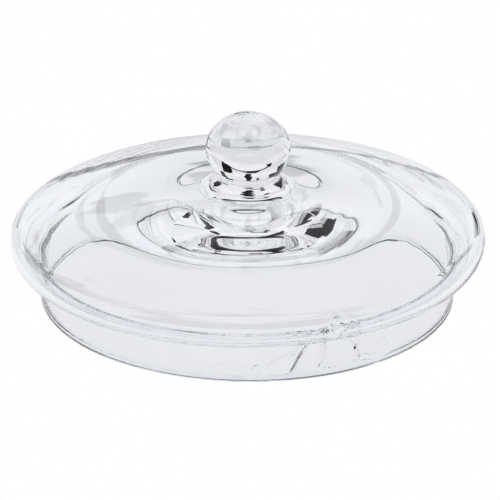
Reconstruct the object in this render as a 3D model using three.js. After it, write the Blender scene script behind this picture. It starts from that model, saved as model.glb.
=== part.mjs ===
// A clear glass dish lid: a shallow blown shell with a rounded overhanging brim and a short
// locating collar below it, and a solid ball knob fused on top.
// Millimetres, +Z up. The origin is on the axis, in the plane of the collar's ground lip.
import * as THREE from "three";

// The whole lid
const BRIM_RADIUS = 50; // the widest ring
const WALL = 1.4; // wall of the blown shell
const TURN_STEPS = 64; // flats round the axis, the same in every piece so that fused faces match

// The dome: part of a sphere. The gather that carries the knob left its middle thicker: the wall
// thickens inwards like a shallow cone, from a rim to a flat, with both corners melted round.
const DOME_SPHERE = 140;
const CONE_ANGLE = (11.2 * Math.PI) / 180; // between the two faces of the wall, on the cone
const CONE_RADIUS = 30.5; // middle of the rounded corner where the cone starts
const CONE_FADE = 6; // how far that corner reaches either side
const FLAT_RADIUS = 11; // middle of the rounded corner where the cone ends
const FLAT_FADE = 4; // how far that one reaches

// The brim: a hollow roll that turns in underneath to a flat seat
const ROLL_RADIUS = 3.75;
const SEAT_Z = 9.5; // height of the seat that rests on the dish's rim
const BEND_RADIUS = 0.5; // inside corner where the seat turns down into the collar

// The collar and its lip
const COLLAR_TOP_RADIUS = 43.8;
const COLLAR_LIP_RADIUS = 43.5;
const LIP_HEIGHT = 1.6;
const LIP_SWELL = 0.12; // how far the fire-polished bead stands proud of the wall
const LIP_ROUND = 0.55; // rounded corner beside the ground land

// The knob
const BALL_RADIUS = 8.85;
const BALL_HALF_HEIGHT = 7.6;
const BALL_CENTRE_Z = 33.5;
const NECK_RADIUS = 6.85;
const NECK_Z = 27.5; // height of the narrowest ring
const NECK_TOP_Z = 29.3; // where the neck's curve meets the ball
const NECK_BOTTOM_Z = 26.3; // where the neck meets the foot
const FOOT_RADIUS = 10.6;
const FOOT_EDGE = 0.12; // height of the foot's rim above the dome

// The roll's section is a circle that touches the dome's sphere from inside, so the circle's centre
// fixes the sphere's centre, below the lid on the axis.
const ROLL_R = BRIM_RADIUS - ROLL_RADIUS;
const ROLL_Z = SEAT_Z + ROLL_RADIUS;
const SPHERE_Z = ROLL_Z - Math.sqrt((DOME_SPHERE - ROLL_RADIUS) ** 2 - ROLL_R ** 2);
const ROLL_START = Math.atan2(ROLL_Z - SPHERE_Z, ROLL_R); // direction of the normal where they touch

// The bend from the seat to the collar.
const BEND_R = COLLAR_TOP_RADIUS + BEND_RADIUS;
const BEND_Z = SEAT_Z - BEND_RADIUS;

const QUARTER = Math.PI / 2;

// Points on an ellipse about (r, z), from one angle to another, both ends included.
function arc(r, z, radiusR, radiusZ, from, to, steps) {
  const points = [];
  for (let i = 0; i <= steps; i++) {
    const angle = from + ((to - from) * i) / steps;
    points.push([r + radiusR * Math.cos(angle), z + radiusZ * Math.sin(angle)]);
  }
  return points;
}

// Height of the dome's outer face at a radius.
function domeTop(r) {
  return SPHERE_Z + Math.sqrt(DOME_SPHERE ** 2 - r ** 2);
}

// Zero, then rising with slope one, joined by a parabola over a distance of fade either side.
function hinge(x, fade) {
  return x > fade ? x : Math.max(x + fade, 0) ** 2 / (4 * fade);
}

// Wall of the dome at a radius.
function domeWall(r) {
  const cone = hinge(CONE_RADIUS - r, CONE_FADE) - hinge(FLAT_RADIUS - r, FLAT_FADE);
  return WALL + Math.tan(CONE_ANGLE) * cone;
}

// Height of the dome's inner face at a radius: the wall is measured along the sphere's radius.
function domeUnder(r) {
  return SPHERE_Z + Math.sqrt((DOME_SPHERE - domeWall(r)) ** 2 - r ** 2);
}

// A closed solid of revolution from [radius, height] points that run anticlockwise in section,
// up the outside and back down the inside or along the axis.
function turned(name, points, material) {
  const profile = points.map(([r, z]) => new THREE.Vector2(r, z));
  const closed = points[0][0] > 0;
  if (closed) {
    profile.push(profile[0].clone());
  }
  const geometry = new THREE.LatheGeometry(profile, TURN_STEPS);
  geometry.rotateX(QUARTER);
  const mesh = new THREE.Mesh(geometry, material);
  mesh.name = name;
  return mesh;
}

// Clear glass with a faint cool grey, a little different for each piece.
function glass(colour, roughness) {
  return new THREE.MeshStandardMaterial({
    color: colour,
    roughness,
    metalness: 0,
    transparent: true,
    opacity: 0.35,
  });
}

// The dome, from the flat where the knob stands out to the start of the roll.
function coverDome() {
  const edgeOuter = ROLL_R + ROLL_RADIUS * Math.cos(ROLL_START);
  const edgeInner = ROLL_R + (ROLL_RADIUS - WALL) * Math.cos(ROLL_START);
  const under = [];
  const rings = 12;
  for (let i = 0; i <= rings; i++) {
    const r = (edgeInner * i) / rings;
    under.push([r, domeUnder(r)]);
  }
  const top = [];
  const bands = 8;
  for (let i = 0; i <= bands; i++) {
    const r = edgeOuter + ((FOOT_RADIUS - edgeOuter) * i) / bands;
    top.push([r, domeTop(r)]);
  }
  return turned("cover_dome", [...under, ...top, [0, domeTop(FOOT_RADIUS)]], glass("#e9edef", 0.03));
}

// The roll: outer face, flat seat underneath, bend to the collar, and the inner face back.
function rolledBrim() {
  const inner = ROLL_RADIUS - WALL;
  const bendInner = BEND_RADIUS + WALL;
  const outside = arc(ROLL_R, ROLL_Z, ROLL_RADIUS, ROLL_RADIUS, -QUARTER, ROLL_START, 12);
  const inside = arc(ROLL_R, ROLL_Z, inner, inner, ROLL_START, -QUARTER, 9);
  const bendOver = arc(BEND_R, BEND_Z, bendInner, bendInner, QUARTER, 2 * QUARTER, 4);
  const bendUnder = arc(BEND_R, BEND_Z, BEND_RADIUS, BEND_RADIUS, 2 * QUARTER, QUARTER, 3);
  return turned("rolled_brim", [...outside, ...inside, ...bendOver, ...bendUnder], glass("#e7ebee", 0.03));
}

// Outer radius of the collar's wall at a height: it draws in slightly towards the lip.
function collarRadius(z) {
  const share = (z - LIP_HEIGHT) / (BEND_Z - LIP_HEIGHT);
  return COLLAR_LIP_RADIUS + (COLLAR_TOP_RADIUS - COLLAR_LIP_RADIUS) * share;
}

// The collar: a plain wall that locates the lid inside the dish's mouth.
function locatingCollar() {
  const low = collarRadius(LIP_HEIGHT);
  const high = collarRadius(BEND_Z);
  const points = [
    [low, LIP_HEIGHT],
    [high, BEND_Z],
    [high - WALL, BEND_Z],
    [low - WALL, LIP_HEIGHT],
  ];
  return turned("locating_collar", points, glass("#e8ecee", 0.03));
}

// The lip: a slightly swollen fire-polished bead with a narrow ground land at the bottom.
function collarLip() {
  const outer = COLLAR_LIP_RADIUS + LIP_SWELL;
  const inner = COLLAR_LIP_RADIUS - WALL - LIP_SWELL;
  const corner = LIP_ROUND;
  const cornerZ = LIP_ROUND;
  const outerRound = arc(outer - corner, cornerZ, corner, corner, -QUARTER, 0, 4);
  const innerRound = arc(inner + corner, cornerZ, corner, corner, 2 * QUARTER, 3 * QUARTER, 4);
  const top = [
    [COLLAR_LIP_RADIUS, LIP_HEIGHT],
    [COLLAR_LIP_RADIUS - WALL, LIP_HEIGHT],
  ];
  return turned("collar_lip", [...outerRound, ...top, ...innerRound], glass("#e3e8eb", 0.04));
}

// Radius of the knob's waist at a height, from the narrowest ring down to the foot's rim.
const FOOT_RIM_Z = domeTop(FOOT_RADIUS) + FOOT_EDGE;
const FLARE_R = FOOT_RADIUS - NECK_RADIUS;
const FLARE_Z = NECK_Z - FOOT_RIM_Z;
function flareRadius(z) {
  const share = (NECK_Z - z) / FLARE_Z;
  return FOOT_RADIUS - FLARE_R * Math.sqrt(1 - share * share);
}

// The foot: a flared pad of glass pressed down on the dome.
function knobFoot() {
  const seat = domeTop(FOOT_RADIUS);
  const points = [
    [0, seat],
    [FOOT_RADIUS, seat],
    [FOOT_RADIUS, FOOT_RIM_Z],
  ];
  const steps = 8;
  const start = Math.asin((NECK_Z - NECK_BOTTOM_Z) / FLARE_Z);
  for (let i = 1; i <= steps; i++) {
    const angle = QUARTER + ((start - QUARTER) * i) / steps;
    const z = NECK_Z - FLARE_Z * Math.sin(angle);
    points.push([flareRadius(z), z]);
  }
  points.push([0, NECK_BOTTOM_Z]);
  return turned("knob_foot", points, glass("#e6eaed", 0.03));
}

// Radius of the ball at a height.
function ballRadius(z) {
  return BALL_RADIUS * Math.sqrt(1 - ((z - BALL_CENTRE_Z) / BALL_HALF_HEIGHT) ** 2);
}

// The neck: the lower half continues the foot's flare, the upper half opens to meet the ball.
function knobNeck() {
  const points = [[0, NECK_BOTTOM_Z]];
  const steps = 4;
  for (let i = 0; i <= steps; i++) {
    const z = NECK_BOTTOM_Z + ((NECK_Z - NECK_BOTTOM_Z) * i) / steps;
    points.push([flareRadius(z), z]);
  }
  const opening = ballRadius(NECK_TOP_Z) - NECK_RADIUS;
  for (let i = 1; i <= steps; i++) {
    const share = i / steps;
    points.push([NECK_RADIUS + opening * share * share, NECK_Z + (NECK_TOP_Z - NECK_Z) * share]);
  }
  points.push([0, NECK_TOP_Z]);
  return turned("knob_neck", points, glass("#e4e9ec", 0.03));
}

// The ball: a solid, slightly flattened ball with a flat at the bottom where the neck joins.
function knobBall() {
  const start = Math.asin((NECK_TOP_Z - BALL_CENTRE_Z) / BALL_HALF_HEIGHT);
  const side = arc(0, BALL_CENTRE_Z, BALL_RADIUS, BALL_HALF_HEIGHT, start, QUARTER, 16);
  side[side.length - 1] = [0, BALL_CENTRE_Z + BALL_HALF_HEIGHT];
  return turned("knob_ball", [[0, NECK_TOP_Z], ...side], glass("#f0f3f5", 0.02));
}

const shell = new THREE.Group();
shell.add(coverDome(), rolledBrim(), locatingCollar(), collarLip());

const knob = new THREE.Group();
knob.add(knobFoot(), knobNeck(), knobBall());

const lid = new THREE.Group();
lid.add(shell, knob);

export default lid;
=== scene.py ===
"""A clear glass dish lid, blown, with a solid ball knob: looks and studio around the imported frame.

The lid is two skins, the shell's and the knob's. Each is a profile turned round the axis, moved a little as
hot glass moves, and cut into the frame's seven pieces, which share their rings where the glass is fused.
"""
import math

import bpy
import numpy as np
from mathutils import Matrix, Vector


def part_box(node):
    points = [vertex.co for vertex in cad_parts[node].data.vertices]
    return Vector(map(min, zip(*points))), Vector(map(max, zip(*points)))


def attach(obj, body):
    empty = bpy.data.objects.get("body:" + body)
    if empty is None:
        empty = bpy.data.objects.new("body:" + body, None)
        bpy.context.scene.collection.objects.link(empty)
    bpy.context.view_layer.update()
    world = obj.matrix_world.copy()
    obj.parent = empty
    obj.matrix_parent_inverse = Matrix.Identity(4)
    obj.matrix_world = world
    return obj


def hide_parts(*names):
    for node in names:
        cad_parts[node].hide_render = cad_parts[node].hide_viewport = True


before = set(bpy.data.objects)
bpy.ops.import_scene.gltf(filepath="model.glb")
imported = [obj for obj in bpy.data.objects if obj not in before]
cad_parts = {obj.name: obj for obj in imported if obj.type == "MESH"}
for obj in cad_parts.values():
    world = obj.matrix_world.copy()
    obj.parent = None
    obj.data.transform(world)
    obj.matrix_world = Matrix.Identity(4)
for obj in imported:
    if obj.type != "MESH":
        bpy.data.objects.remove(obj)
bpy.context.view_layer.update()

MM = 0.001
QUARTER = math.pi / 2
ON_AXIS = 1e-9  # a point nearer to the axis than this is on it
TINY = 1e-12  # keeps a division away from zero

# ---------------------------------------------------------------- sizes
BRIM_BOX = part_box("rolled_brim")
COLLAR_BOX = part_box("locating_collar")
LIP_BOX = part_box("collar_lip")
FOOT_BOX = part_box("knob_foot")
NECK_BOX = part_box("knob_neck")
BALL_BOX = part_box("knob_ball")

# The blown shell: part of a sphere. Its wall thickens inwards like a shallow cone, up to a flat middle.
WALL = 1.4 * MM
DOME_SPHERE = 140 * MM
MIDDLE_SLOPE = math.radians(11.2)  # between the two faces of the wall, on the cone
MIDDLE_RADIUS = 30.5 * MM  # middle of the rounded corner where the cone starts
MIDDLE_FADE = 6 * MM  # how far that corner reaches either side
MIDDLE_FLAT = 11 * MM  # middle of the rounded corner where the cone ends
FLAT_FADE = 4 * MM  # how far that one reaches

# The roll, its flat seat, and the bend from the seat to the collar
BRIM_RADIUS = BRIM_BOX[1].x
ROLL_RADIUS = 3.75 * MM
BEND_RADIUS = 0.5 * MM
BEND_Z = COLLAR_BOX[1].z
SEAT_Z = BEND_Z + BEND_RADIUS

# The collar, and the bead at its lip
COLLAR_TOP_RADIUS = COLLAR_BOX[1].x
COLLAR_LIP_RADIUS = 43.5 * MM
LIP_HEIGHT = COLLAR_BOX[0].z
LIP_RADIUS = LIP_BOX[1].x
LIP_ROUND = 0.55 * MM

# The knob
FOOT_RADIUS = FOOT_BOX[1].x
FOOT_BOTTOM = FOOT_BOX[0].z
FOOT_EDGE = 0.12 * MM
NECK_RADIUS = 6.85 * MM
NECK_Z = 27.5 * MM  # height of the narrowest ring
NECK_BOTTOM_Z = FOOT_BOX[1].z
NECK_TOP_Z = NECK_BOX[1].z
BALL_RADIUS = 8.85 * MM
BALL_HALF_HEIGHT = 7.6 * MM
BALL_CENTRE_Z = BALL_BOX[1].z - BALL_HALF_HEIGHT

# The roll's section is a circle that touches the dome's sphere from inside.
ROLL_R = BRIM_RADIUS - ROLL_RADIUS
ROLL_Z = SEAT_Z + ROLL_RADIUS
SPHERE_Z = ROLL_Z - math.sqrt((DOME_SPHERE - ROLL_RADIUS) ** 2 - ROLL_R**2)
ROLL_START = math.atan2(ROLL_Z - SPHERE_Z, ROLL_R)  # direction of the normal where they touch
BEND_R = COLLAR_TOP_RADIUS + BEND_RADIUS
FOOT_RIM_Z = FOOT_BOTTOM + FOOT_EDGE
FLARE_Z = NECK_Z - FOOT_RIM_Z

# ---------------------------------------------------------------- how finely the glass is divided
TURN = 512  # steps round the axis
FRONT = math.radians(-72)  # they are closer together round here
FRONT_SHARE = 0.35  # the share of the steps that is spent on it
FRONT_WIDTH = math.radians(50)
FINE_STEPS = 20000  # for adding up how close together they are

# Steps along each stretch of the two profiles
DOME_OUT_STEPS = 60
ROLL_OUT_STEPS = 66
SEAT_STEPS = 8
BEND_OUT_STEPS = 16
COLLAR_STEPS = 44
BEAD_STEPS = 8
CORNER_STEPS = 20
LAND_STEPS = 2
BEND_IN_STEPS = 28
ROLL_IN_STEPS = 58
DOME_IN_STEPS = 124
RIM_STEPS = 2
FOOT_STEPS = 24
WAIST_STEPS = 12
THROAT_STEPS = 14
BALL_STEPS = 80


# ---------------------------------------------------------------- profiles
def dome_top(r):
    """Height of the dome's outer face at a radius."""
    return SPHERE_Z + np.sqrt(DOME_SPHERE**2 - r**2)


def hinge(x, soft):
    """Zero, then rising with slope one, joined by a parabola over a distance of soft either side."""
    return np.where(x > soft, x, np.maximum(x + soft, 0) ** 2 / (4 * soft))


def dome_wall(r):
    """Wall of the dome at a radius."""
    rise = hinge(MIDDLE_RADIUS - r, MIDDLE_FADE) - hinge(MIDDLE_FLAT - r, FLAT_FADE)
    return WALL + math.tan(MIDDLE_SLOPE) * rise


def dome_under(r):
    """Height of the dome's inner face at a radius: the wall is measured along the sphere's radius."""
    return SPHERE_Z + np.sqrt((DOME_SPHERE - dome_wall(r)) ** 2 - r**2)


def arc(r, z, radius, start, end, steps):
    """Points on a circle about (r, z), from one angle to another, both ends included."""
    angle = np.linspace(start, end, steps + 1)
    return np.column_stack([r + radius * np.cos(angle), z + radius * np.sin(angle)])


def line(a, b, steps):
    """Points on a straight line, both ends included."""
    share = np.linspace(0, 1, steps + 1)[:, None]
    return np.array(a) * (1 - share) + np.array(b) * share


def bead(a, b, steps):
    """A line whose radius leaves one end and comes to the other gently, like an S."""
    points = line(a, b, steps)
    points[:, 0] = a[0] + (b[0] - a[0]) * (1 - np.cos(np.linspace(0, math.pi, steps + 1))) / 2
    return points


def flare(start, end, steps):
    """Part of the ellipse that opens from the knob's narrowest ring down to the foot's rim."""
    angle = np.linspace(start, end, steps + 1)
    r = FOOT_RADIUS - (FOOT_RADIUS - NECK_RADIUS) * np.cos(angle)
    return np.column_stack([r, NECK_Z - FLARE_Z * np.sin(angle)])


class Curve:
    """A profile made of named stretches; neighbours share their end point."""

    def __init__(self):
        self.points = []
        self.spans = {}

    def add(self, name, points):
        first = max(0, len(self.points) - 1)
        self.points.extend(points if not self.points else points[1:])
        self.spans[name] = (first, len(self.points) - 1)

    def span(self, first, last=None):
        """Where a stretch, or a run of them, starts and ends in the list of points."""
        return self.spans[first][0], self.spans[last or first][1]


def shell_curve():
    """The shell's skin, from the knob's foot out over the brim, round the lip and back inside."""
    c = Curve()
    inner_roll = ROLL_RADIUS - WALL
    edge_out = ROLL_R + ROLL_RADIUS * math.cos(ROLL_START)
    edge_in = ROLL_R + inner_roll * math.cos(ROLL_START)
    inner_lip_radius = COLLAR_LIP_RADIUS - WALL
    inner_bead_radius = inner_lip_radius - (LIP_RADIUS - COLLAR_LIP_RADIUS)
    corner_out_r = LIP_RADIUS - LIP_ROUND
    corner_in_r = inner_bead_radius + LIP_ROUND

    # Outside, from the dome down to the lip
    r = np.linspace(FOOT_RADIUS, edge_out, DOME_OUT_STEPS + 1)
    c.add("dome_out", np.column_stack([r, dome_top(r)]))
    c.add("roll_out", arc(ROLL_R, ROLL_Z, ROLL_RADIUS, ROLL_START, -QUARTER, ROLL_OUT_STEPS))
    c.add("seat_out", line((ROLL_R, SEAT_Z), (BEND_R, SEAT_Z), SEAT_STEPS))
    c.add("bend_out", arc(BEND_R, BEND_Z, BEND_RADIUS, QUARTER, 2 * QUARTER, BEND_OUT_STEPS))
    c.add("collar_out", line((COLLAR_TOP_RADIUS, BEND_Z), (COLLAR_LIP_RADIUS, LIP_HEIGHT), COLLAR_STEPS))
    c.add("bead_out", bead((COLLAR_LIP_RADIUS, LIP_HEIGHT), (LIP_RADIUS, LIP_ROUND), BEAD_STEPS))
    c.add("corner_out", arc(corner_out_r, LIP_ROUND, LIP_ROUND, 0, -QUARTER, CORNER_STEPS))

    # The ground land
    c.add("land", line((corner_out_r, 0), (corner_in_r, 0), LAND_STEPS))

    # Inside, from the lip up to the middle of the dome
    c.add("corner_in", arc(corner_in_r, LIP_ROUND, LIP_ROUND, 3 * QUARTER, 2 * QUARTER, CORNER_STEPS))
    c.add("bead_in", bead((inner_bead_radius, LIP_ROUND), (inner_lip_radius, LIP_HEIGHT), BEAD_STEPS))
    collar_top = (COLLAR_TOP_RADIUS - WALL, BEND_Z)
    c.add("collar_in", line((inner_lip_radius, LIP_HEIGHT), collar_top, COLLAR_STEPS))
    c.add("bend_in", arc(BEND_R, BEND_Z, BEND_RADIUS + WALL, 2 * QUARTER, QUARTER, BEND_IN_STEPS))
    c.add("seat_in", line((BEND_R, SEAT_Z + WALL), (ROLL_R, SEAT_Z + WALL), SEAT_STEPS))
    c.add("roll_in", arc(ROLL_R, ROLL_Z, inner_roll, -QUARTER, ROLL_START, ROLL_IN_STEPS))
    r = np.linspace(edge_in, 0, DOME_IN_STEPS + 1)
    c.add("dome_in", np.column_stack([r, dome_under(r)]))
    return c


def knob_curve():
    """The knob's skin, from the foot's rim up to the top of the ball."""
    c = Curve()
    c.add("rim", line((FOOT_RADIUS, FOOT_BOTTOM), (FOOT_RADIUS, FOOT_RIM_Z), RIM_STEPS))
    foot_top = math.asin((NECK_Z - NECK_BOTTOM_Z) / FLARE_Z)
    c.add("foot", flare(QUARTER, foot_top, FOOT_STEPS))
    c.add("waist", flare(foot_top, 0, WAIST_STEPS))

    # The throat opens from the narrowest ring to meet the ball.
    share = np.linspace(0, 1, THROAT_STEPS + 1)
    low = (NECK_TOP_Z - BALL_CENTRE_Z) / BALL_HALF_HEIGHT
    opening = BALL_RADIUS * math.sqrt(1 - low**2) - NECK_RADIUS
    z = NECK_Z + (NECK_TOP_Z - NECK_Z) * share
    c.add("throat", np.column_stack([NECK_RADIUS + opening * share**2, z]))

    angle = np.linspace(math.asin(low), QUARTER, BALL_STEPS + 1)
    r = BALL_RADIUS * np.cos(angle)
    r[-1] = 0
    c.add("ball", np.column_stack([r, BALL_CENTRE_Z + BALL_HALF_HEIGHT * np.sin(angle)]))
    return c


# ---------------------------------------------------------------- what blowing leaves in the glass
# A pattern's WANDER is the length of the waves that bend it. WANDER_TURN, in radians, is how far they do.

# Each effect has a seed of its own. The shell's are counted up from these two.
OUTER_SEED = 20
INNER_SEED = 40
FAN_SEED = 5  # the first fan's, above the shell's
KNOT_SEED = 7
BALL_SEED = 60
CORD_SEED = 61
SWIRL_SEED = 62

# A pattern of waves is a sum of this many plane waves, whose lengths vary by these factors.
WAVE_COUNT = 7
WAVE_SPREAD = (0.75, 1.4)

# The shell's waves: long ones, short ones near the brim, and faint rings round the axis that wander
LONG_WAVE = 28 * MM
LONG_HEIGHT = 0.045 * MM
SHORT_WAVE = 9 * MM
SHORT_HEIGHT = 0.008 * MM
RING_STEP = 3.1 * MM
RING_HEIGHT = 0.004 * MM
RING_WANDER = 40 * MM
RING_WANDER_TURN = 1.5
RING_INNER_SHARE = 0.4  # how strong the rings are away from the brim

# Where the waves rise: outwards from the knob, up from the lip, and away from the bend under the brim
FIRST_WAVE_OUTSIDE = FOOT_RADIUS + 0.5 * MM
FIRST_WAVE_INSIDE = 4 * MM
FULL_WAVE_RADIUS = 28 * MM
ABOVE_LIP = (1.2 * MM, 5 * MM)
FROM_BEND = (2 * MM, 9 * MM)
NEAR_BRIM = (34 * MM, 42 * MM)  # radius, where the short waves and the full rings come in
RING_HEIGHTS = (14 * MM, 17 * MM)  # height, above which there are rings

# The dome is a little higher on the right, and its thick middle sits forward of the axis.
DOME_LEAN = math.radians(0.65)
LEAN_HEIGHTS = (4 * MM, 12 * MM)
LEAN_FULL_RADIUS = 30 * MM
MIDDLE_OFFSET = 1.8 * MM
MIDDLE_LOWEST = 4 * MM  # above the collar's top: the collar and the seat stay where they are

# Threads of glass drawn down from the brim: angle round the axis in degrees, height of the top, the angles
# from straight down that they lie between, in radians, and how high they stand
FANS = [
    (-66, 17 * MM, -1.0, 0.8, 0.4 * MM),
    (-140, 10 * MM, -0.9, 0.9, 0.04 * MM),
]
THREAD_COUNT = 22
THREAD_WIDTHS = (0.03, 0.2)  # radians
THREAD_RISES = (0.3, 1)  # least and most, as shares of the fan's height
THREAD_WANDER = 7 * MM
THREAD_WANDER_TURN = 0.08
THREAD_NEAREST = 0.2 * MM  # below the top: angles aren't measured from any nearer
THREAD_START = (0.5 * MM, 4 * MM)  # below the top, where they rise
THREAD_ROLL = (8 * MM, 10 * MM)  # height, where they fade on the way up to the brim
THREAD_FADED = 0.9  # how much of them fades
LEVEL_LAND = (0.6 * MM, 2 * MM)  # height, below which the glass stays level for the ground land

# Pinch marks: angle round the axis in degrees, radius, height, size, and how high they stand
KNOTS = [
    (-57, 43.7 * MM, 4.0 * MM, 1.1 * MM, 0.25 * MM),
    (-68, 49.2 * MM, 14.5 * MM, 0.9 * MM, 0.35 * MM),
    (-50, 43.8 * MM, 5.0 * MM, 0.8 * MM, 0.3 * MM),
    (-166, 43.8 * MM, 6.5 * MM, 0.6 * MM, 0.2 * MM),
]
KNOT_FADE = 4  # the square of how many sizes it takes to die away
KNOT_RIPPLES = 3  # radians for each size
KNOT_WANDER_SIZES = 3  # the length of the waves, in sizes
KNOT_WANDER_TURN = 1.5

# Cords wound round the ball: height, tilt, and how high they stand
CORDS = [
    (36.6 * MM, 0.05, 0.02 * MM),
    (35.6 * MM, 0.12, 0.012 * MM),
    (34.0 * MM, -0.06, 0.016 * MM),
    (31.6 * MM, 0.04, 0.008 * MM),
]
CORD_WIDTH = 0.22 * MM
CORD_WANDER = 12 * MM
CORD_WANDER_HEIGHT = 0.25 * MM  # how far up and down they are bent
BALL_WAVE = 11 * MM
BALL_WAVE_HEIGHT = 0.02 * MM
ABOVE_NECK = 3 * MM  # the ball's marks are full this far above the neck
BALL_POLE = (2 * MM, 4 * MM)  # radius, inside which the cords fade

# The swirl on top of the ball, where the gather was snapped off
SWIRL_X = -1.2 * MM
SWIRL_Y = -0.8 * MM
SWIRL_RADIUS = 4.2 * MM
SWIRL_INNER_SHARE = 0.7  # of the radius, where it starts to fade
SWIRL_STEP = 1.3 * MM
SWIRL_HEIGHT = 0.08 * MM
SWIRL_WANDER = 4 * MM
SWIRL_WANDER_TURN = 0.8
SWIRL_POLE = 0.5 * MM  # level nearer to the ball's axis than this


def smooth(x, low, high):
    """Zero below low, one above high, smooth in between."""
    t = np.clip((x - low) / (high - low), 0, 1)
    return t * t * (3 - 2 * t)


def waves(place, seed, length, height):
    """Gentle waves through space, from a few plane waves of about one length in random directions."""
    rng = np.random.default_rng(seed)
    total = 0
    for _ in range(WAVE_COUNT):
        direction = rng.normal(size=3)
        direction *= 2 * math.pi / (length * rng.uniform(*WAVE_SPREAD) * np.linalg.norm(direction))
        total = total + np.sin(place @ direction + rng.uniform(0, 2 * math.pi))
    return height * total / math.sqrt(WAVE_COUNT)


def threads(place, azimuth, top, left, right, height, seed):
    """Drawn threads of glass that spread downwards from one place on the brim, between two angles."""
    rng = np.random.default_rng(seed)
    z = place[..., 2]
    turn = np.arctan2(place[..., 1], place[..., 0]) - azimuth
    turn = (turn + math.pi) % (2 * math.pi) - math.pi
    down = np.maximum(top - z, THREAD_NEAREST)
    angle = np.arctan2(turn * COLLAR_TOP_RADIUS, down)
    angle = angle + waves(place, seed, THREAD_WANDER, THREAD_WANDER_TURN)
    inside = smooth(down, *THREAD_START) * smooth(z, *LEVEL_LAND)
    total = 0
    for _ in range(THREAD_COUNT):
        centre = rng.uniform(left, right)
        width = rng.uniform(*THREAD_WIDTHS)
        rise = rng.uniform(*THREAD_RISES) * rng.choice([-1, 1])
        total = total + rise * np.exp(-(((angle - centre) / width) ** 2))
    return height * inside * (1 - THREAD_FADED * smooth(z, *THREAD_ROLL)) * total


def knot(place, azimuth, radius, z, size, height):
    """A pinch mark: a small lump with a ring of ripples round it."""
    centre = np.array([radius * math.cos(azimuth), radius * math.sin(azimuth), z])
    far = np.linalg.norm(place - centre, axis=-1) / size
    wander = waves(place, KNOT_SEED, KNOT_WANDER_SIZES * size, KNOT_WANDER_TURN)
    return height * np.exp(-(far**2) / KNOT_FADE) * np.cos(KNOT_RIPPLES * far + wander)


def blown(grid, normal, radius, inner):
    """One face of the shell as hot glass leaves it.

    Both faces have soft waves, rings, threads and a lean. The outer one has pinch marks, and the inner
    one's thick middle is off the axis.
    """
    seed = INNER_SEED if inner else OUTER_SEED
    z = grid[..., 2]
    first_wave = FIRST_WAVE_INSIDE if inner else FIRST_WAVE_OUTSIDE
    edge = smooth(radius, first_wave, FULL_WAVE_RADIUS) * smooth(z, *ABOVE_LIP)
    calm = smooth(np.hypot(radius - BEND_R, z - BEND_Z), *FROM_BEND)
    outside = smooth(radius, *NEAR_BRIM)
    bumps = waves(grid, seed, LONG_WAVE, LONG_HEIGHT)
    bumps = bumps + waves(grid, seed + 1, SHORT_WAVE, SHORT_HEIGHT) * outside
    wander = waves(grid, seed + 2, RING_WANDER, RING_WANDER_TURN)
    rings = RING_HEIGHT * np.sin(2 * math.pi * radius / RING_STEP + wander)
    ring_share = RING_INNER_SHARE + (1 - RING_INNER_SHARE) * outside
    height = edge * calm * bumps + edge * rings * smooth(z, *RING_HEIGHTS) * ring_share
    for fan_seed, (azimuth, top, left, right, rise) in enumerate(FANS, seed + FAN_SEED):
        height = height + threads(grid, math.radians(azimuth), top, left, right, rise, fan_seed)
    if not inner:
        for azimuth, around, at, size, rise in KNOTS:
            lump = knot(grid, math.radians(azimuth), around, at, size, rise)
            height = height + lump * smooth(z, *LEVEL_LAND)
    moved = grid + normal * height[..., None]
    lean = math.tan(DOME_LEAN) * grid[..., 0] * smooth(z, *LEAN_HEIGHTS)
    moved[..., 2] += lean * smooth(radius, FOOT_RADIUS, LEAN_FULL_RADIUS)
    if inner:
        shifted = np.hypot(grid[..., 0], grid[..., 1] + MIDDLE_OFFSET)
        dome = z > BEND_Z + MIDDLE_LOWEST
        moved[..., 2] -= (dome_wall(shifted) - dome_wall(radius)) * dome
    return moved


def blown_shell(skin):
    """The shell's skin, whose inner face starts at the ground land."""
    first_inner = skin.curve.span("land")[0]
    moved = blown(skin.grid, skin.normal, skin.radius, False)
    moved[first_inner:] = blown(skin.grid, skin.normal, skin.radius, True)[first_inner:]
    return moved


def twisted_knob(skin):
    """The knob's skin: the ball has soft waves, faint cords wound round it, and the swirl on top."""
    grid = skin.grid
    x, y, z = grid[..., 0], grid[..., 1], grid[..., 2]
    on_ball = smooth(z, NECK_TOP_Z, NECK_TOP_Z + ABOVE_NECK) * smooth(skin.radius, *BALL_POLE)
    height = waves(grid, BALL_SEED, BALL_WAVE, BALL_WAVE_HEIGHT)
    for at, tilt, rise in CORDS:
        off = z - at - tilt * x - waves(grid, CORD_SEED, CORD_WANDER, CORD_WANDER_HEIGHT)
        height = height + rise * np.exp(-((off / CORD_WIDTH) ** 2))
    moved = grid + skin.normal * (height * on_ball)[..., None]
    far = np.hypot(x - SWIRL_X, y - SWIRL_Y)
    turn = np.arctan2(y - SWIRL_Y, x - SWIRL_X)
    wander = waves(grid, SWIRL_SEED, SWIRL_WANDER, SWIRL_WANDER_TURN)
    spiral = np.cos(2 * math.pi * far / SWIRL_STEP - turn + wander)
    on_top = (1 - smooth(far, SWIRL_INNER_SHARE * SWIRL_RADIUS, SWIRL_RADIUS)) * (z > BALL_CENTRE_Z)
    moved[..., 2] += SWIRL_HEIGHT * spiral * on_top * smooth(skin.radius, 0, SWIRL_POLE)
    return moved


# ---------------------------------------------------------------- skins
def turn_angles():
    """Angles round the axis, closer together at the front."""
    fine = np.linspace(-math.pi, math.pi, FINE_STEPS + 1)
    bell = FRONT_SHARE * np.exp(-((fine / FRONT_WIDTH * 2) ** 4)) / FRONT_WIDTH
    density = (1 - FRONT_SHARE) / (2 * math.pi) + bell
    total = np.concatenate([[0], np.cumsum((density[1:] + density[:-1]) / 2)])
    share = np.linspace(0, total[-1], TURN, endpoint=False)
    return FRONT + np.interp(share, total, fine)


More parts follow.
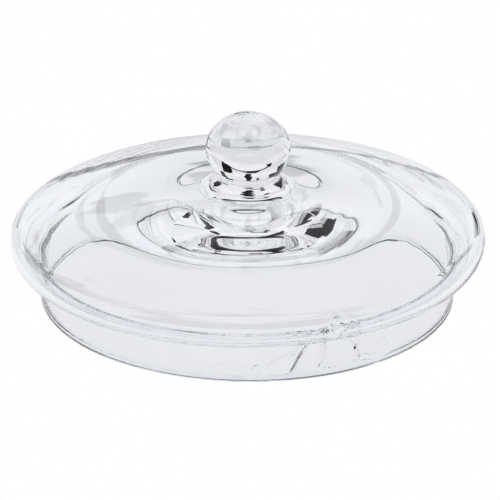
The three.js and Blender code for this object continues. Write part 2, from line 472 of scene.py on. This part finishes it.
POLISHED, FUSED, GROUND = range(3)  # a piece's material slots


class Skin:
    """A curve turned round the axis: positions and normals on a grid of profile steps by turn steps."""

    def __init__(self, curve, side, shape):
        """side is 1 or -1, so that normals point out of the glass; shape gives the moved grid."""
        self.curve = curve
        self.side = side
        self.turn = turn_angles()
        points = np.array(curve.points)
        r, phi = points[:, 0][:, None], self.turn[None, :]
        z = np.repeat(points[:, 1][:, None], TURN, 1)
        self.grid = np.stack([r * np.cos(phi), r * np.sin(phi), z], -1)
        self.radius = np.repeat(r, TURN, 1)
        self.find_normals()
        self.grid = shape(self)
        self.find_normals()

    def find_normals(self):
        """Normals from the grid's neighbours, with a single one for a whole pole."""
        along = np.gradient(self.grid, axis=0)
        around = np.roll(self.grid, -1, 1) - np.roll(self.grid, 1, 1)
        across = [-np.sin(self.turn), np.cos(self.turn), 0 * self.turn]
        poles = self.radius[:, 0] < ON_AXIS
        around[poles] = np.stack(across, -1)
        normal = np.cross(along, around) * self.side
        normal[poles] = normal[poles].mean(1, keepdims=True)
        self.normal = normal / np.maximum(np.linalg.norm(normal, axis=-1, keepdims=True), TINY)

    def band(self, first, last=None, back=False, finish=POLISHED):
        """The rings of a stretch or a run of them, in the curve's order or backwards."""
        a, b = self.curve.span(first, last)
        rings, normals = self.grid[a : b + 1], self.normal[a : b + 1]
        if back:
            rings, normals = rings[::-1], normals[::-1]
        return rings, normals, finish

    def ring(self, name, end):
        """A stretch's first ring, where end is 0, or its last, where end is 1."""
        return self.grid[self.curve.span(name)[end]]


def pole(z):
    """A ring shrunk to a point on the axis."""
    ring = np.zeros((TURN, 3))
    ring[:, 2] = z
    return ring


def seam(ring_a, ring_b):
    """The face where two pieces are fused, which needs no normals of its own."""
    return np.stack([ring_a, ring_b]), None, FUSED


def glass_piece(name, bands, materials):
    """A closed piece from bands of rings that run anticlockwise in section."""
    vertices, faces, loop_normals, slots = [], [], [], []

    def add_ring(ring):
        """Add a ring's points, or one point for a pole, and give their numbers."""
        if np.hypot(ring[0, 0], ring[0, 1]) < ON_AXIS and np.hypot(ring[1, 0], ring[1, 1]) < ON_AXIS:
            vertices.append(ring[0])
            return [len(vertices) - 1] * TURN
        vertices.extend(ring)
        return list(range(len(vertices) - TURN, len(vertices)))

    first = add_ring(bands[0][0][0])
    current = first
    closed = first[0] != first[1]  # a piece that starts off the axis ends on its first ring
    for number, (rings, normals, finish) in enumerate(bands):
        for i in range(1, len(rings)):
            last = closed and number == len(bands) - 1 and i == len(rings) - 1
            following = first if last else add_ring(rings[i])
            for j in range(TURN):
                k = (j + 1) % TURN
                near = [(current[j], i - 1, j), (current[k], i - 1, k)]
                far = [(following[k], i, k), (following[j], i, j)]
                corners = near + far
                if current[0] == current[1]:
                    corners.pop(1)
                elif following[0] == following[1]:
                    corners.pop(2)
                faces.append([corner for corner, _, _ in corners])
                slots.append(finish)
                for _, a, b in corners:
                    loop_normals.append((0, 0, 0) if normals is None else tuple(normals[a, b]))
            current = following
    mesh = bpy.data.meshes.new(name)
    mesh.from_pydata([tuple(v) for v in vertices], [], faces)
    mesh.polygons.foreach_set("material_index", slots)
    mesh.polygons.foreach_set("use_smooth", [s != FUSED for s in slots])
    mesh.normals_split_custom_set(loop_normals)
    for material in materials:
        mesh.materials.append(material)
    piece = bpy.data.objects.new(name, mesh)
    bpy.context.scene.collection.objects.link(piece)
    return piece


# ---------------------------------------------------------------- materials
IOR = 1.5
NOISE_MIDDLE = (0.3, 0.7)  # where nearly all of a noise lies
NOISE_DETAIL = 2.0
CLEAR = (1, 1, 1)
LIGHT = (0.992, 0.994, 1.0)
DEEP = (0.978, 0.982, 0.99)
DEEPER = (0.95, 0.96, 0.97)
FROSTED = (0.9, 0.92, 0.94)
FROSTED_DEEP = (0.8, 0.83, 0.86)
EVEN = (1, 1, 1)
UPRIGHT = (1, 1, 6)  # stretches the noise into upright streaks

# Each slot's glass: two tints, least and most roughness, size of a patch of tint, length and height of the
# fine waves, and how the noise is stretched
GLASSES = {
    # Blown thin: the widest patches of tint
    "dome_glass": (LIGHT, DEEP, (0, 0.008), 14 * MM, 5 * MM, 0.004 * MM, EVEN),
    # Rolled over in the flame, so smoother than the dome
    "brim_glass": (LIGHT, DEEP, (0, 0.006), 9 * MM, 4 * MM, 0.0015 * MM, EVEN),
    # Drawn down from the brim, so streaked
    "collar_glass": (LIGHT, DEEP, (0, 0.006), 6 * MM, 3 * MM, 0.002 * MM, UPRIGHT),
    # A bead melted round, a little deeper in tint
    "lip_glass": (DEEP, DEEPER, (0, 0.008), 4 * MM, 2 * MM, 0.0015 * MM, EVEN),
    # Solid and nearly colourless
    "knob_glass": (CLEAR, LIGHT, (0, 0.01), 5 * MM, 4 * MM, 0.003 * MM, EVEN),
    "ball_glass": (CLEAR, LIGHT, (0, 0.01), 6 * MM, 5 * MM, 0.004 * MM, EVEN),
}
# The land under the lip, ground matt
GROUND_GLASS = (FROSTED, FROSTED_DEEP, (0.25, 0.5), 2 * MM, 0.2 * MM, 0.01 * MM, EVEN)


def node(tree, kind, **settings):
    """A new node with some of its settings made."""
    made = tree.nodes.new(kind)
    for key, value in settings.items():
        setattr(made, key, value)
    return made


def make_material(name):
    """An empty material: itself, its node tree, and its output."""
    material = bpy.data.materials.new(name)
    material.use_nodes = True
    tree = material.node_tree
    tree.nodes.clear()
    out = node(tree, "ShaderNodeOutputMaterial")
    return material, tree, out


def noise_at(tree, size, stretch):
    """Noise through the glass whose patches are about one size, pulled out along an axis by stretch."""
    coord = node(tree, "ShaderNodeTexCoord")
    mapping = node(tree, "ShaderNodeMapping")
    mapping.inputs["Scale"].default_value = [1 / (size * pull) for pull in stretch]
    noise = node(tree, "ShaderNodeTexNoise")
    noise.inputs["Scale"].default_value = 1.0
    noise.inputs["Detail"].default_value = NOISE_DETAIL
    tree.links.new(coord.outputs["Object"], mapping.inputs["Vector"])
    tree.links.new(mapping.outputs[0], noise.inputs["Vector"])
    return noise.outputs["Fac"]


def spread(tree, value, low, high):
    """The middle of a noise spread over a range."""
    made = node(tree, "ShaderNodeMapRange")
    made.inputs["From Min"].default_value = NOISE_MIDDLE[0]
    made.inputs["From Max"].default_value = NOISE_MIDDLE[1]
    made.inputs["To Min"].default_value = low
    made.inputs["To Max"].default_value = high
    tree.links.new(value, made.inputs["Value"])
    return made.outputs[0]


def glass_material(name, light, deep, rough, patch, wave, lift, stretch):
    """Clear glass in two close tints, with a polish that comes and goes and fine waves in its surface."""
    material, tree, out = make_material(name)
    shader = node(tree, "ShaderNodeBsdfPrincipled")
    shader.inputs["IOR"].default_value = IOR
    shader.inputs["Transmission Weight"].default_value = 1.0
    tint = node(tree, "ShaderNodeMix", data_type="RGBA")
    tint.inputs["A"].default_value = (*light, 1)
    tint.inputs["B"].default_value = (*deep, 1)
    tree.links.new(spread(tree, noise_at(tree, patch, stretch), 0, 1), tint.inputs["Factor"])
    tree.links.new(tint.outputs["Result"], shader.inputs["Base Color"])
    tree.links.new(spread(tree, noise_at(tree, patch / 2, EVEN), *rough), shader.inputs["Roughness"])
    bump = node(tree, "ShaderNodeBump")
    bump.inputs["Distance"].default_value = lift
    tree.links.new(noise_at(tree, wave, stretch), bump.inputs["Height"])
    tree.links.new(bump.outputs[0], shader.inputs["Normal"])
    tree.links.new(shader.outputs[0], out.inputs[0])
    return material


def seam_material():
    """Fused glass has no surface of its own, so light passes straight through."""
    material, tree, out = make_material("fused_seam")
    shader = node(tree, "ShaderNodeBsdfTransparent")
    tree.links.new(shader.outputs[0], out.inputs[0])
    return material


# ---------------------------------------------------------------- pieces
shell = Skin(shell_curve(), 1, blown_shell)
knob = Skin(knob_curve(), -1, twisted_knob)

fused = seam_material()
ground = glass_material("ground_glass", *GROUND_GLASS)
glass_of = {slot: glass_material(slot, *looks) for slot, looks in GLASSES.items()}

# Each piece's slot, and its bands anticlockwise in section
pieces = {
    "cover_dome": (
        "dome_glass",
        shell.band("dome_in", back=True),
        seam(shell.ring("dome_in", 0), shell.ring("dome_out", 1)),
        shell.band("dome_out", back=True),
        seam(shell.ring("dome_out", 0), pole(FOOT_BOTTOM)),
    ),
    "rolled_brim": (
        "brim_glass",
        shell.band("roll_out", "bend_out", back=True),
        seam(shell.ring("roll_out", 0), shell.ring("roll_in", 1)),
        shell.band("bend_in", "roll_in", back=True),
        seam(shell.ring("bend_in", 0), shell.ring("bend_out", 1)),
    ),
    "locating_collar": (
        "collar_glass",
        shell.band("collar_out", back=True),
        seam(shell.ring("collar_out", 0), shell.ring("collar_in", 1)),
        shell.band("collar_in", back=True),
        seam(shell.ring("collar_in", 0), shell.ring("collar_out", 1)),
    ),
    "collar_lip": (
        "lip_glass",
        shell.band("corner_in", "bead_in", back=True),
        shell.band("land", back=True, finish=GROUND),
        shell.band("bead_out", "corner_out", back=True),
        seam(shell.ring("bead_out", 0), shell.ring("bead_in", 1)),
    ),
    "knob_foot": (
        "knob_glass",
        seam(pole(FOOT_BOTTOM), knob.ring("rim", 0)),
        knob.band("rim", "foot"),
        seam(knob.ring("foot", 1), pole(NECK_BOTTOM_Z)),
    ),
    "knob_neck": (
        "knob_glass",
        seam(pole(NECK_BOTTOM_Z), knob.ring("waist", 0)),
        knob.band("waist", "throat"),
        seam(knob.ring("throat", 1), pole(NECK_TOP_Z)),
    ),
    "knob_ball": (
        "ball_glass",
        seam(pole(NECK_TOP_Z), knob.ring("ball", 0)),
        knob.band("ball"),
    ),
}
for name, (slot, *bands) in pieces.items():
    piece = glass_piece("glass_" + name, bands, [glass_of[slot], fused, ground])
    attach(piece, "root")
    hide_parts(name)

# ---------------------------------------------------------------- studio
WHITE = (1, 1, 1, 1)
STUDIO_COLOUR = (0.991, 0.997, 1.018, 1)  # a faintly cool white
DARK = 0.01

# Brightness of the studio by elevation in degrees: pale walls, a dark gap, and a bright ceiling
OVERHEAD = 90
ELEVATION_STOPS = [
    (0, 0.88),
    (8, 0.9),
    (12, 0.98),
    (18, 0.97),
    (25, 0.9),
    (34, 0.9),
    (38, 1.0),
    (50, 0.88),
    (61, 0.78),
    (64, DARK),
    (70, DARK),
    (74, 1.12),
    (OVERHEAD, 1.12),
]

# A long soft box across the dark gap, behind and above the lid, measured in ceiling heights
BOX_ACROSS = (-0.6, 0.66)
BOX_DEPTH = (0.5, 0.775)
BOX_SOFT = 0.01
BOX_LEVEL = 0.86
LOWEST = 0.05  # directions are never taken to be lower than this

# Cards round the walls, black or grey: azimuth from, to (0 behind the lid, 90 to the right), elevation
# from, to, all in degrees, and how much of the light they leave. Noise makes their edges ragged.
CARDS = [
    (-62, -28, 21, 60, DARK),
    (-62, -40, 13, 23, DARK),
    (30, 38, 18, 35, DARK),
    (120, 240, 24, 62, DARK),
    (18, 29, 1, 14, DARK),
    (-13, -2, 29, 33, 0.35),
    (-15, -12.5, 21, 33, 0.2),
    (-3, 3, 10, 26, DARK),
    (-25, 1, -3, 1.8, 0.05),
    (1, 25, -3, 1.3, 0.3),
]
CARD_SOFT = 1  # degrees
CARD_RAGGED_ACROSS = 6.0  # degrees either way
CARD_RAGGED_UP = 3.0
RAGGED_SCALE = 5.0
RAGGED_DETAIL = 3.0
FIRST_AZIMUTH = -90  # azimuths run from here all the way round
LAST_AZIMUTH = 270

# How bright the floor is at distances from the lid's axis, in mm: painted shade makes it a little darker
# under the lid, and a ring of painted shade beyond it draws the lid's outline
FLOOR_SHADE_STOPS = [
    (0, 0.905),
    (22, 0.9),
    (44, 0.885),
    (60, 0.965),
    (76, 0.965),
    (86, 0.86),
    (160, 0.86),
    (260, 0.95),
]
FLOOR_REACH = 300 * MM
FLOOR_HALF = 3.0  # half its side, in metres
FLOOR_Z = -1e-5  # just under the lid, so that the two faces don't fight


def math_node(tree, operation, a, b=None, c=None):
    """A maths node on numbers or on other nodes' outputs."""
    made = node(tree, "ShaderNodeMath", operation=operation)
    for i, value in enumerate((a, b, c)):
        if value is None:
            continue
        if isinstance(value, (int, float)):
            made.inputs[i].default_value = value
        else:
            tree.links.new(value, made.inputs[i])
    return made.outputs[0]


def window(tree, value, low, high, soft):
    """One between low and high, fading to zero over a distance of soft outside them."""
    rise = node(tree, "ShaderNodeMapRange", interpolation_type="SMOOTHSTEP")
    fall = node(tree, "ShaderNodeMapRange", interpolation_type="SMOOTHSTEP")
    for made, ends in ((rise, (low - soft, low)), (fall, (high + soft, high))):
        tree.links.new(value, made.inputs["Value"])
        made.inputs["From Min"].default_value = ends[0]
        made.inputs["From Max"].default_value = ends[1]
    return math_node(tree, "MULTIPLY", rise.outputs[0], fall.outputs[0])


def grey_ramp(tree, value, stops):
    """Grey levels at places along a value from 0 to 1."""
    ramp = node(tree, "ShaderNodeValToRGB")
    tree.links.new(value, ramp.inputs[0])
    elements = ramp.color_ramp.elements
    while len(elements) < len(stops):
        elements.new(1)
    for element, (at, level) in zip(elements, stops):
        element.position = at
        element.color = (level, level, level, 1)
    return ramp.outputs[0]


def white_to_camera(tree, kind, level, out):
    """The camera sees plain white, and every other ray sees the studio's light."""
    seen = node(tree, kind)
    seen.inputs[0].default_value = WHITE
    lit = node(tree, kind)
    lit.inputs[0].default_value = STUDIO_COLOUR
    tree.links.new(level, lit.inputs[1])
    path = node(tree, "ShaderNodeLightPath")
    mix = node(tree, "ShaderNodeMixShader")
    tree.links.new(path.outputs["Is Camera Ray"], mix.inputs[0])
    tree.links.new(lit.outputs[0], mix.inputs[1])
    tree.links.new(seen.outputs[0], mix.inputs[2])
    tree.links.new(mix.outputs[0], out.inputs[0])


def soft_box(tree, direction, level):
    """Put the soft box in front of a level of light."""
    x, y, z = direction
    height = math_node(tree, "MAXIMUM", z, LOWEST)
    across = window(tree, math_node(tree, "DIVIDE", x, height), *BOX_ACROSS, BOX_SOFT)
    depth = window(tree, math_node(tree, "DIVIDE", y, height), *BOX_DEPTH, BOX_SOFT)
    box = math_node(tree, "MULTIPLY", across, depth)
    behind = math_node(tree, "MULTIPLY", level, math_node(tree, "MULTIPLY_ADD", box, -1, 1))
    return math_node(tree, "MULTIPLY_ADD", box, BOX_LEVEL, behind)


def ragged(tree, angle, noise, reach):
    """An angle shifted by a noise, by up to reach either way."""
    shift = math_node(tree, "MULTIPLY_ADD", noise, 2 * reach, -reach)
    return math_node(tree, "ADD", angle, shift)


def world_light():
    """The studio all round the lid: walls and ceiling, the soft box, and the cards in front of them."""
    world = bpy.data.worlds.new("studio")
    bpy.context.scene.world = world
    world.use_nodes = True
    tree = world.node_tree
    tree.nodes.clear()
    out = node(tree, "ShaderNodeOutputWorld")
    coord = node(tree, "ShaderNodeTexCoord")
    direction = node(tree, "ShaderNodeSeparateXYZ")
    tree.links.new(coord.outputs["Generated"], direction.inputs[0])
    x, y, z = direction.outputs
    degrees = 180 / math.pi
    elevation = math_node(tree, "MULTIPLY", math_node(tree, "ARCSINE", z), degrees)
    azimuth = math_node(tree, "MULTIPLY", math_node(tree, "ARCTAN2", x, y), degrees)
    azimuth = math_node(tree, "WRAP", azimuth, LAST_AZIMUTH, FIRST_AZIMUTH)
    share = math_node(tree, "DIVIDE", elevation, OVERHEAD)
    level = grey_ramp(tree, share, [(at / OVERHEAD, grey) for at, grey in ELEVATION_STOPS])
    level = soft_box(tree, (x, y, z), level)

    noise = node(tree, "ShaderNodeTexNoise")
    noise.inputs["Scale"].default_value = RAGGED_SCALE
    noise.inputs["Detail"].default_value = RAGGED_DETAIL
    tree.links.new(coord.outputs["Generated"], noise.inputs["Vector"])
    shift = node(tree, "ShaderNodeSeparateXYZ")
    tree.links.new(noise.outputs["Color"], shift.inputs[0])
    card_azimuth = ragged(tree, azimuth, shift.outputs[0], CARD_RAGGED_ACROSS)
    card_elevation = ragged(tree, elevation, shift.outputs[1], CARD_RAGGED_UP)
    for left, right, bottom, top, passed in CARDS:
        across = window(tree, card_azimuth, left, right, CARD_SOFT)
        up = window(tree, card_elevation, bottom, top, CARD_SOFT)
        card = math_node(tree, "MULTIPLY", across, up)
        level = math_node(tree, "MULTIPLY", level, math_node(tree, "MULTIPLY_ADD", card, passed - 1, 1))
    white_to_camera(tree, "ShaderNodeBackground", level, out)


def floor():
    """A wide white floor, with painted shade in rings."""
    material, tree, out = make_material("pale_floor")
    coord = node(tree, "ShaderNodeTexCoord")
    radius = node(tree, "ShaderNodeVectorMath", operation="LENGTH")
    tree.links.new(coord.outputs["Object"], radius.inputs[0])
    share = math_node(tree, "DIVIDE", radius.outputs["Value"], FLOOR_REACH)
    # Painted shade on the floor: darker under the lid, and in a ring beyond it
    level = grey_ramp(tree, share, [(at * MM / FLOOR_REACH, grey) for at, grey in FLOOR_SHADE_STOPS])
    white_to_camera(tree, "ShaderNodeEmission", level, out)
    mesh = bpy.data.meshes.new("floor")
    corners = [(x * FLOOR_HALF, y * FLOOR_HALF, FLOOR_Z) for x, y in ((-1, -1), (1, -1), (1, 1), (-1, 1))]
    mesh.from_pydata(corners, [], [(0, 1, 2, 3)])
    mesh.materials.append(material)
    plane = bpy.data.objects.new("floor", mesh)
    bpy.context.scene.collection.objects.link(plane)


world_light()
floor()

# ---------------------------------------------------------------- camera
ELEVATION = math.radians(24.3)
DISTANCE = 1.2
TARGET = Vector((0.00053, 0, 0.0101))
VIEW_WIDTH = 105.485232 * MM  # across the picture, at the target
SENSOR_WIDTH = 36  # millimetres, as Blender takes it
CAMERA_ROLL = math.radians(0.4)
GAMMA = 0.6

camera_data = bpy.data.cameras.new("camera")
camera = bpy.data.objects.new("camera", camera_data)
bpy.context.scene.collection.objects.link(camera)
direction = Vector((0, -math.cos(ELEVATION), math.sin(ELEVATION)))
camera.location = TARGET + direction * DISTANCE
facing = (-direction).to_track_quat("-Z", "Y").to_matrix().to_4x4()
camera.matrix_world = Matrix.Translation(camera.location) @ facing @ Matrix.Rotation(CAMERA_ROLL, 4, "Z")
camera_data.sensor_width = SENSOR_WIDTH
camera_data.lens = SENSOR_WIDTH * DISTANCE / VIEW_WIDTH
bpy.context.scene.camera = camera

# Light is followed through many faces of glass, and nothing of it is blurred or cut off.
scene = bpy.context.scene
scene.view_settings.view_transform = "Standard"
scene.view_settings.gamma = GAMMA
scene.cycles.max_bounces = 40
scene.cycles.transmission_bounces = 40
scene.cycles.glossy_bounces = 24
scene.cycles.transparent_max_bounces = 64
scene.cycles.blur_glossy = 0
scene.cycles.sample_clamp_indirect = 0
